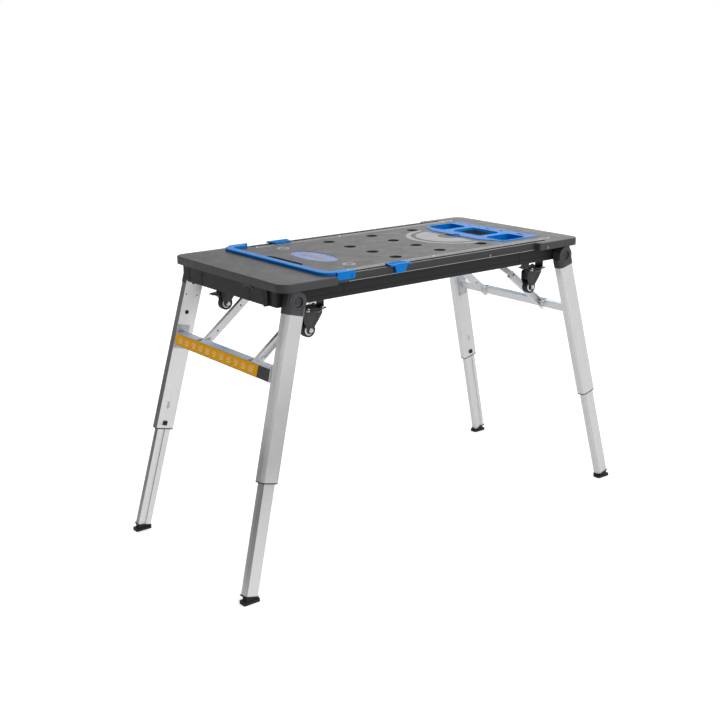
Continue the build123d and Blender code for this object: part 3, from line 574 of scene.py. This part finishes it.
def add_fork(corner, centre, swivel_x):
    """Ball race, stiffening beads down both cheeks, axle bolt and nut."""
    body = "swivel_" + corner
    x, y, z = centre
    add_part("fork_race_" + corner, [lathe(RACE_PROFILE, 64, (swivel_x, y, 0), "z", closed=True)],
             "steel", body, angle=60)
    beads = []
    for sign in SIGNS:
        for top, bottom in ((-0.0170, -0.0090), (0.0240, 0.0060)):
            outline = [(top, BEAD_TOP), (top + BEAD_WIDTH, BEAD_TOP),
                       (bottom + BEAD_WIDTH, BEAD_BOTTOM), (bottom, BEAD_BOTTOM)]
            beads.append(extrude(outline, (x + 0.002, y + sign * 0.0144, z),
                                 (X, Z, Y * sign), 0, 0.0008))
    add_part("fork_beads_" + corner, beads, "steel", body, bevel=0.0003)
    axle = [hex_head((x, y - 0.0170, z), -Y, flats=0.0090, height=0.0034),
            hex_head((x, y + 0.0170, z), Y, flats=0.0090, height=0.0038),
            lathe(WASHER_PROFILE, 32, (x, y - 0.0174, z), "y")]
    add_part("axle_bolt_" + corner, axle, "zinc", body, bevel=0.0003)


def add_plate(corner, swivel_x, y):
    """Bolts through the mounting plate and a raised pad on its top."""
    bolts = []
    for a in SIGNS:
        for b in SIGNS:
            bolt_x, bolt_y = swivel_x + a * PLATE_BOLT_X, y + b * PLATE_BOLT_Y
            bolts.append(hex_head((bolt_x, bolt_y, PLATE_BOTTOM), -Z, flats=0.0100,
                                  height=0.0036))
            bolts.append(dome((bolt_x, bolt_y, PLATE_TOP), Z, radius=0.0052, height=0.0042))
    add_part("plate_bolts_" + corner, bolts, "zinc", "deck", bevel=0.0003)
    pad = extrude(rounded_rect(0.032, 0.028, 0.008), (swivel_x, y, PLATE_TOP),
                  (X, Y, Z), 0, 0.0012)
    add_part("plate_rib_" + corner, [pad], "steel", "deck", bevel=0.0005)


def add_brake_grips(corner, swivel_x, y):
    """Five ridges on the sloping pedal, each split in two."""
    grips = []
    for k in range(5):
        place = (swivel_x - 0.0560 + 0.0052 * k, y, 0.6991 + 0.00062 * k)
        for start, end in ((-0.0088, -0.0042), (0.0042, 0.0088)):
            grips.append(extrude(ridge(0.0012, 0.0008, 0.0011, bottom=-0.0004), place,
                                 (X, Z, Y), start, end))
    add_part("brake_grips_" + corner, grips, "steel", "brake_" + corner,
             bevel=0.0002)


for corner, (sign_x, sign_y) in CORNERS.items():
    swivel_x, caster_y = sign_x * SWIVEL_X, sign_y * CASTER_Y
    axle_centre = (swivel_x - TRAIL, caster_y, AXLE_Z)
    add_wheel(corner, axle_centre)
    add_fork(corner, axle_centre, swivel_x)
    add_plate(corner, swivel_x, caster_y)
    if corner in BRAKED_CORNERS:
        add_brake_grips(corner, swivel_x, caster_y)

# ------------------------------------------------------------------ pivot heads and legs
FOOT_X, FOOT_Y = 0.6925, 0.292
# (radius, distance from y = 0)
BOSS_PROFILE = [
    (0.0142, 0.2628), (0.0142, 0.2635), (0.0145, 0.2646), (0.0158, 0.2654),
    (0.0190, 0.2654), (0.0202, 0.2646), (0.0206, 0.2632), (0.0206, 0.2626)]
PIN_CAP_PROFILE = [
    (0.0, 0.2586), (0.0132, 0.2586), (0.0132, 0.2598), (0.0128, 0.2606), (0.0112, 0.2608),
    (0.0092, 0.2596), (0.0050, 0.2593), (0.0046, 0.2602), (0.0, 0.2602)]
# (radius, height above the tube's inner plane)
GROMMET_PROFILE = [
    (0.0040, -0.0022), (0.0040, 0.0006), (0.0047, 0.0011), (0.0058, 0.0008), (0.0062, -0.0002)]
# distance down the leg, offset inward, height above the plane, radius, dome height
LEG_RIVETS = [
    (0.0665, -0.020, 0.0, 0.0024, 0.0010), (0.0665, 0.016, 0.0, 0.0024, 0.0010),
    (0.163, -0.018, 0.0025, 0.0028, 0.0012), (0.163, 0.004, 0.0025, 0.0028, 0.0012)]
# (inward, down the leg)
ARROW = [(0, 0.012), (-0.0075, 0.0035), (-0.0032, 0.0035), (-0.0032, -0.0105),
         (0.0032, -0.0105), (0.0032, 0.0035), (0.0075, 0.0035)]


def leg_axes(sign_x, sign_y):
    """A leg's pivot on the tube's inner plane, with unit vectors down the leg, inward
    towards x = 0, and outward from y = 0."""
    tan_x, tan_y = math.tan(LEAN_X), math.tan(LEAN_Y)
    length = math.sqrt(1 + tan_x * tan_x + tan_y * tan_y)
    down = Vector((sign_x * tan_x / length, sign_y * tan_y / length, -1 / length))
    outward = Vector((0, sign_y * math.cos(LEAN_Y), math.sin(LEAN_Y)))
    outward = (outward - down * outward.dot(down)).normalized()
    inward = outward.cross(down)
    if inward.x * sign_x > 0:
        inward = -inward
    return Vector((sign_x * PIVOT_X, sign_y * PIVOT_Y, PIVOT_Z)), down, inward, outward


def grommet(centre, down, inward, outward):
    verts, faces = [], []
    steps, rows = 40, len(GROMMET_PROFILE)
    for i in range(steps):
        angle = 2 * math.pi * i / steps
        spoke = inward * math.cos(angle) + down * math.sin(angle)
        verts += [centre + spoke * r - outward * h for r, h in GROMMET_PROFILE]
    for i in range(steps):
        j = (i + 1) % steps
        for k in range(rows - 1):
            faces.append((i * rows + k, j * rows + k, j * rows + k + 1, i * rows + k + 1))
    faces.append(tuple(i * rows for i in range(steps)))
    faces.append(tuple(i * rows + rows - 1 for i in range(steps))[::-1])
    return verts, faces


def add_leg_details(corner, sign_x, sign_y):
    pivot, down, inward, outward = leg_axes(sign_x, sign_y)
    body = "legs_left" if sign_x < 0 else "legs_right"
    for stem, profile, segments, material, ring_body, angle in (
            ("boss_ring_", BOSS_PROFILE, 72, "head", body, 60),
            ("pin_cap_", PIN_CAP_PROFILE, 64, "pin", "deck", 40)):
        turned = lathe([(r, sign_y * y) for r, y in profile], segments,
                       (sign_x * PIVOT_X, 0, PIVOT_Z), "y", closed=stem == "boss_ring_")
        add_part(stem + corner, [turned], material, ring_body, angle=angle)
    # two raised ribs down the head's outer face
    ribs = [extrude(ridge(0.0011, 0.0007, 0.0008),
                    pivot + outward * 0.02940 + inward * offset + down * 0.0085,
                    (inward, outward, down), 0, 0.0235) for offset in (-0.0155, 0.0155)]
    add_part("head_ribs_" + corner, ribs, "head", body, bevel=0.0003)
    rivets = [dome(pivot + down * drop + inward * offset - outward * lift, -outward,
                   radius, height) for drop, offset, lift, radius, height in LEG_RIVETS]
    add_part("leg_rivets_" + corner, rivets, "screw", body, angle=60)
    hole = pivot + down * 0.118 + inward * -0.006
    add_part("leg_grommet_" + corner, [grommet(hole, down, inward, outward)],
             "frame", body, angle=60)
    # pressed arrow above the release button, pointing down the leg
    arrow = extrude(ARROW, pivot + down * 0.397 + inward * -0.004,
                    (inward, down, -outward), -0.0002, 0.0007)
    add_part("leg_arrow_" + corner, [arrow], "alu_dark", body,
             bevel=0.0002)
    lugs = [extrude(rounded_rect(0.0050, 0.0024, 0.0006, steps=2),
                    pivot + inward * offset + down * 0.4697, (inward, down, -outward),
                    0, 0.0007) for offset in (-0.0195, -0.0065, 0.0065, 0.0195)]
    add_part("collar_lugs_" + corner, lugs, "head", body, bevel=0.0002)
    # upright ribs on the foot's front and back
    ribs = [extrude(rounded_rect(0.0022, 0.0056, 0.0006, steps=2),
                    (sign_x * FOOT_X + k * 0.0062, sign_y * FOOT_Y + sign * 0.0135, 0.0044),
                    (X, Z, Y * sign), -0.0003, 0.0007)
            for k in range(-3, 4) for sign in SIGNS]
    add_part("foot_ribs_" + corner, ribs, "rubber", "extension_" + corner,
             bevel=0.0002)


# the boss ring's profile is closed; the pin cap's ends on the axis
for corner, (sign_x, sign_y) in CORNERS.items():
    add_leg_details(corner, sign_x, sign_y)

# ------------------------------------------------------------------ rungs
RUNG_DEPTH = 0.02765  # from the leg line out to the rung's outer face
FILM_THICKNESS = 0.0004
LABEL_TOP, LABEL_BOTTOM = 0.1826, 0.2130  # distances down the leg
LABEL_SPANS = {"left": (-0.182, 0.2415), "right": (-0.2415, 0.182)}
FILM_SPANS = {"a": (-0.120, 0.120), "b": (0.1395, 0.2300), "c": (-0.2300, -0.1395)}
# distance down the leg -> distance down its projection on the XZ plane
DROP_SCALE = math.cos(math.atan(math.tan(LEAN_Y) * math.cos(LEAN_X)))


def rung_point(sign_x, inward, drop):
    """(x, z) of a point given inward from the leg line and down the leg."""
    c, s = math.cos(LEAN_X), math.sin(LEAN_X)
    x = -PIVOT_X + c * inward - s * drop * DROP_SCALE
    z = PIVOT_Z - s * inward - c * drop * DROP_SCALE
    return -sign_x * x, z


def add_rung_label(side, sign_x, body):
    """Film along the rung's outer face, with eleven groups of pale bars."""
    y0, y1 = LABEL_SPANS[side]
    under, face = [[rung_point(sign_x, -RUNG_DEPTH - lift, drop)
                    for drop in (LABEL_TOP, LABEL_BOTTOM)] for lift in (0, FILM_THICKNESS)]
    add_part("rung_label_" + side, [slab(under, face, y0, y1)], "label", body)
    (top_x, top_z), (bottom_x, bottom_z) = under
    (face_x, face_z), (low_x, low_z) = face
    up = Vector((top_x - bottom_x, 0, top_z - bottom_z)).normalized()
    normal = Vector((face_x - top_x, 0, face_z - top_z)).normalized()
    middle = Vector(((face_x + low_x) / 2, 0, (face_z + low_z) / 2))
    bars = []
    for k in range(11):
        # offset up the label, length, height
        for rise, length, height in ((-0.0062, 0.0190 - 0.0032 * (k % 3), 0.0034),
                                     (-0.0002, 0.0230, 0.0022),
                                     (0.0050, 0.0205 - 0.004 * (k % 2), 0.0022)):
            place = middle + Vector((0, y0 + 0.030 + 0.0364 * k, 0)) + up * rise
            bars.append(extrude(rounded_rect(length, height, 0.0006, steps=2), place,
                                (Y, up, normal), -0.0001, 0.00025))
    add_part("rung_label_bars_" + side, bars, "label_pale", body)


def add_rung_top(side, sign_x, body):
    """Tread ridges and three lengths of film on the rung's top flange, both in a near-white
    colour that is partly the film's own pale blue and partly a painted highlight.
    """
    treads = []
    for k in range(5):
        across = 0.12 + 0.19 * k
        x, z = rung_point(sign_x, -RUNG_DEPTH + RUNG_DEPTH * across,
                          0.181 - 0.007 * across - 0.0002)
        treads.append(extrude(ridge(0.0010, 0.0006, 0.0009), (x, 0, z), (X, Z, Y),
                              -0.118, 0.118))
    add_part("rung_treads_" + side, treads, "film", body)
    lower, upper = [[rung_point(sign_x, -RUNG_DEPTH + 0.0012, 0.1806 - lift),
                     rung_point(sign_x, -0.0012, 0.1742 - lift)]
                    for lift in (0, FILM_THICKNESS)]
    for letter, (y0, y1) in FILM_SPANS.items():
        add_part("rung_film_%s_%s" % (letter, side), [slab(lower, upper, y0, y1)],
                 "film", body)


for side, sign_x in SIDES.items():
    add_rung_label(side, sign_x, "legs_" + side)
    add_rung_top(side, sign_x, "legs_" + side)

# ------------------------------------------------------------------ stays
STAY_FOOT = (0.536313, 0.587308)  # (x, z) of the lower joint
STAY_ELBOW = (0.404715, 0.690123)
STAY_SLOPE = math.radians(38)


def add_stay_details(corner, sign_x, sign_y):
    def joint(point, y):
        return sign_x * point[0], sign_y * y, point[1]

    body = "stay_low_" + corner
    outward = Y * sign_y
    rivets = [dome(joint(STAY_ELBOW, 0.1229), -outward, radius=0.0042, height=0.0014),
              dome(joint(STAY_FOOT, 0.1456), outward, radius=0.0058, height=0.0022),
              dome(joint(STAY_FOOT, 0.1190), -outward, radius=0.0058, height=0.0022)]
    add_part("stay_rivets_" + corner, rivets, "zinc", body, angle=60)
    elbow = dome(joint(STAY_ELBOW, 0.1421), outward, radius=0.0060, height=0.0020)
    add_part("elbow_rivet_" + corner, [elbow], "zinc", "stay_up_" + corner, angle=60)
    # dark discs of painted shade where the channel's web is punched through, and a folded stop at
    # its elbow end
    c, s = math.cos(STAY_SLOPE), math.sin(STAY_SLOPE)
    along = Vector((-sign_x * c, 0, s))
    normal = Vector((sign_x * s, 0, c))
    hole_shade_discs = [extrude(circle(distance, 0.0026, steps=24), joint(STAY_ELBOW, 0.1240),
                     (along, normal, -outward), -0.0004, 0.00015)
             for distance in (-0.0280, -0.1280)]
    add_part("stay_hole_shade_" + corner, hole_shade_discs, "hole_shade", body)
    stop = extrude(rect(0.0060, 0.0084, -0.0110, 0.0110), joint(STAY_ELBOW, 0.1244),
                   (along, normal, outward), 0.0, 0.0110)
    add_part("stay_stop_" + corner, [stop], "steel", body, bevel=0.0003)


for corner, (sign_x, sign_y) in CORNERS.items():
    add_stay_details(corner, sign_x, sign_y)

# ------------------------------------------------------------------ rule strips
TICK_START, TICK_LIMIT, TICK_PITCH = -0.300, 0.470, 0.010
TICK_HALF_WIDTH = 0.00045
STRIP_TOP = DECK_TOP + 0.0001


def add_rule_strip(face, sign_y):
    ticks = []
    k = 0
    x = TICK_START
    while x < TICK_LIMIT:
        length = 0.0105 if k % 10 == 0 else (0.0080 if k % 5 == 0 else 0.0050)
        ticks.append(extrude(rect(-TICK_HALF_WIDTH, TICK_HALF_WIDTH, 0, length),
                             (x, sign_y * 0.2265, STRIP_TOP), (X, Y * -sign_y, Z),
                             0, 0.00008))
        x += TICK_PITCH
        k += 1
    add_part("rule_ticks_" + face, ticks, "print", "deck", smooth=False)
    edges = [extrude(rect(-0.304, 0.466, 0, 0.0011), (0, sign_y * y, STRIP_TOP),
                     (X, Y * sign_y, Z), 0, 0.00012) for y in (0.2082, 0.2256)]
    add_part("rule_edges_" + face, edges, "alu_x", "deck", smooth=False)
    screws = [dome((x, sign_y * 0.2171, STRIP_TOP), Z, radius=0.0034, height=0.0012)
              for x in (-0.306, 0.0, 0.433, 0.470)]
    add_part("strip_screws_" + face, screws, "zinc", "deck", angle=60)
    plug = extrude(rounded_rect(0.006, 0.0118, 0.0015),
                   (-0.3110, sign_y * 0.239, DECK_TOP - 0.004), (X, Y, Z), -0.004, 0.0032)
    add_part("slot_plug_" + face, [plug], "rail", "deck", bevel=0.0006)


for face, sign_y in FACES.items():
    add_rule_strip(face, sign_y)

# ------------------------------------------------------------------ tray, clips and handle
WELL_X, WELL_Y = 0.3725, 0.131  # centres of the tray's front and back wells
WELL_SIZE_X, WELL_SIZE_Y = 0.095, 0.078
WELL_RADIUS = 0.014
LIP_WIDTH, LIP_HEIGHT = 0.0022, 0.0011


def well_lip(x, y, size_x, size_y):
    """Raised rim around a tray well."""
    z = DECK_TOP + 0.0015
    verts = []
    # share of the lip's width outside the well, height
    for share, height in ((1, z), (0.6, z + LIP_HEIGHT), (0.25, z + LIP_HEIGHT), (0, z - 0.001)):
        grow = LIP_WIDTH * share
        ring = rounded_rect(size_x + 2 * grow, size_y + 2 * grow, WELL_RADIUS + grow,
                            steps=8, centre=(x, y))
        verts += [(p[0], p[1], height) for p in ring]
    count = len(ring)
    faces = []
    for k in range(4):
        faces += band_faces(k * count, (k + 1) % 4 * count, count)
    return verts, faces


def add_tray_details():
    ribs = [extrude(ridge(0.0009, 0.0004, 0.0022),
                    (WELL_X, sign * WELL_Y + share * WELL_SIZE_Y * 0.62, 0.7790),
                    (Y, Z, X), -0.040, 0.040) for sign in SIGNS for share in (-0.4, 0.0, 0.4)]
    add_part("tray_ribs", ribs, "blue", "tray", bevel=0.0002)
    lips = [well_lip(WELL_X, sign * WELL_Y, WELL_SIZE_X, WELL_SIZE_Y) for sign in SIGNS]
    lips.append(well_lip(0.374, 0.0, 0.086, 0.124))
    add_part("tray_lips", lips, "blue", "tray", angle=50)


def add_clip_ridges(name, x, sign_y, body):
    """Four ridges across a clip, longer towards the deck's edge."""
    ridges = []
    for k in range(4):
        half = 0.022 + 0.002 * k
        ridges.append(extrude(ridge(0.0011, 0.0006, 0.0009),
                              (x, sign_y * (0.232 + 0.0062 * k), DECK_TOP + 0.0052),
                              (Y, Z, X), -half, half))
    add_part(name, ridges, "blue", body, bevel=0.0002)


def add_handle_grip():
    """A row of ribs along the handle's bar."""
    ribs = [extrude(ridge(0.0016, 0.0010, 0.0007),
                    (-0.3840, -0.068 + 0.0085 * k, DECK_TOP + 0.0045),
                    (Y, X, Z), -0.0024, 0.0022) for k in range(17)]
    add_part("handle_grip", ribs, "blue", "handle", bevel=0.0002)


add_tray_details()
add_clip_ridges("clip_front_ridges", -0.157, -1, "clip_f")
add_clip_ridges("clip_back_ridges", -0.205, 1, "clip_b")
add_handle_grip()

# ------------------------------------------------------------------ badge and apron
APRON_Y, APRON_END_X = 0.2330, 0.5520
APRON_RIB_Z, APRON_RIB_HEIGHT = 0.7480, 0.0410


def add_badge_bars():
    bars = [extrude(rounded_rect(0.0062, length, 0.003), (x, 0, DECK_TOP - 0.0007),
                    (X, Y, Z), 0, 0.0005) for x, length in ((-0.262, 0.104), (-0.250, 0.072))]
    add_part("badge_bars", bars, "print", "deck", bevel=0.0002)


def add_apron_ribs():
    section = ridge(0.0009, 0.0005, 0.0007)
    ribs = [extrude(section, (x, sign * APRON_Y, APRON_RIB_Z), (X, Y * sign, Z),
                    0, APRON_RIB_HEIGHT)
            for sign in SIGNS for x in (-0.462, -0.330, 0.330, 0.462)]
    ribs += [extrude(section, (sign * APRON_END_X, y, APRON_RIB_Z), (Y, X * sign, Z),
                     0, APRON_RIB_HEIGHT)
             for sign in SIGNS for y in (-0.186, -0.120, 0.120, 0.186)]
    add_part("apron_ribs", ribs, "frame", "deck", bevel=0.0002)


def add_notch_lips():
    """Flattened arch over the notch in each end apron."""
    steps = 14
    angles = [math.pi * i / steps for i in range(steps + 1)]
    arch = [(0.0270 * math.cos(a), 0.0090 * math.sin(a) ** 1.6) for a in angles]
    arch += [(0.0225 * math.cos(a), 0.0060 * math.sin(a) ** 1.6 - 0.0006)
             for a in reversed(angles)]
    lips = [extrude(arch, (sign * APRON_END_X, sign * 0.114, 0.7800), (Y, Z, X * sign),
                    -0.0002, 0.0016) for sign in SIGNS]
    add_part("end_notch_lip", lips, "head", "deck", bevel=0.0002)


def add_rail_edge_highlight():
    # painted highlight: a thin light strip along the lower edge of each rail's side face
    beads = [extrude(rect(-0.330, 0.366, 0, 0.0010), (0, sign * 0.2540, 0.7906),
                     (X, Z, Y * sign), -0.0001, 0.0006) for sign in SIGNS]
    add_part("rail_edge_highlight", beads, "alu_dark", "deck", smooth=False)


add_badge_bars()
add_apron_ribs()
add_notch_lips()
add_rail_edge_highlight()

# ------------------------------------------------------------------ stage
WHITE = (1, 1, 1, 1)
FLOOR_HALF, FLOOR_Z = 40, -0.0005


def floor_material():
    """Matt grey that also glows, for camera rays only."""
    material, tree, shader = new_material("studio_floor")
    set_inputs(tree, shader, {"Base Color": (0.82, 0.82, 0.82, 1), "Roughness": 0.9,
                              "Specular IOR Level": 0.1})
    output = shader.outputs[0].links[0].to_node
    camera_ray = add_node(tree, "LightPath").outputs["Is Camera Ray"]
    glow = add_node(tree, "Emission", {0: WHITE, 1: calc(tree, "MULTIPLY", camera_ray, 0.50)})
    both = add_node(tree, "AddShader", {0: shader.outputs[0], 1: glow.outputs[0]})
    set_inputs(tree, output, {0: both.outputs[0]})
    return material


def build_world():
    """Soft patches of light; camera rays see plain white."""
    world = bpy.data.worlds.new("studio")
    bpy.context.scene.world = world
    world.use_nodes = True
    tree = world.node_tree
    tree.nodes.clear()
    direction = add_node(tree, "TexCoord").outputs["Generated"]

    def patch(towards, cosine, strength):
        """Strength blends between two values as the cosine to a direction rises."""
        towards = Vector(towards).normalized()
        dot = add_node(tree, "VectorMath", {0: direction, 1: towards}, operation="DOT_PRODUCT")
        return map_range(tree, dot.outputs["Value"], source=cosine, target=strength,
                         interpolation_type="SMOOTHSTEP")

    overhead = patch((0, 0, 1), cosine=(-0.35, 0.95), strength=(0.10, 0.80))
    left_dimming = patch((-1.0, -0.15, 0.0), cosine=(0.15, 0.90), strength=(1.0, 0.22))
    front = patch((0.45, -1.0, 0.15), cosine=(0.1, 0.95), strength=(0.0, 0.60))
    right = patch((0.93, 0.40, 0.14), cosine=(0.70, 1.0), strength=(0.0, 1.1))
    dimmed = calc(tree, "MULTIPLY", overhead, left_dimming)
    total = calc(tree, "ADD", calc(tree, "ADD", dimmed, front), right)
    lighting = add_node(tree, "Background", {0: WHITE, 1: total})
    backdrop = add_node(tree, "Background", {0: WHITE, 1: 1.0})
    camera_ray = add_node(tree, "LightPath").outputs["Is Camera Ray"]
    chosen = add_node(tree, "MixShader", {
        0: camera_ray, 1: lighting.outputs[0], 2: backdrop.outputs[0]})
    add_node(tree, "OutputWorld", {0: chosen.outputs[0]})


def add_area_light(name, location, target, size, power):
    light = bpy.data.lights.new(name, "AREA")
    light.shape = "RECTANGLE"
    light.size, light.size_y = size
    light.energy = power
    obj = bpy.data.objects.new(name, light)
    bpy.context.scene.collection.objects.link(obj)
    obj.location = location
    aim = Vector(target) - Vector(location)
    obj.rotation_euler = aim.to_track_quat("-Z", "Y").to_euler()


def add_camera(location, azimuth, elevation, roll, lens):
    """Camera looking down by elevation; azimuth turns it about Z from +Y. Degrees."""
    azimuth, elevation, roll = (math.radians(a) for a in (azimuth, elevation, roll))
    camera = bpy.data.cameras.new("cam")
    camera.sensor_width = 36.0
    camera.lens = lens
    camera.clip_start = 0.05
    camera.clip_end = 60
    obj = bpy.data.objects.new("camera", camera)
    bpy.context.scene.collection.objects.link(obj)
    forward = Vector((-math.sin(azimuth) * math.cos(elevation),
                      math.cos(azimuth) * math.cos(elevation), -math.sin(elevation)))
    turn = forward.to_track_quat("-Z", "Y").to_matrix().to_4x4()
    obj.matrix_world = Matrix.Translation(location) @ turn @ Matrix.Rotation(roll, 4, "Z")
    bpy.context.scene.camera = obj


floor_corners = [(x * FLOOR_HALF, y * FLOOR_HALF, FLOOR_Z)
                 for x, y in ((-1, -1), (1, -1), (1, 1), (-1, 1))]
link_mesh("floor", floor_corners, [(0, 1, 2, 3)], floor_material())
build_world()
add_area_light("key", location=(1.2, -3.6, 2.6), target=(0, 0, 0.5), size=(2.4, 2.0), power=28)
add_area_light("top", location=(0.6, 1.2, 3.6), target=(0, 0, 0.6), size=(3.0, 2.0), power=22)
add_camera(location=(-2.0912, -2.5243, 1.399), azimuth=-38.35, elevation=15.97, roll=-0.30,
           lens=56.11)
view = bpy.context.scene.view_settings
view.view_transform = "Standard"
view.look = "None"
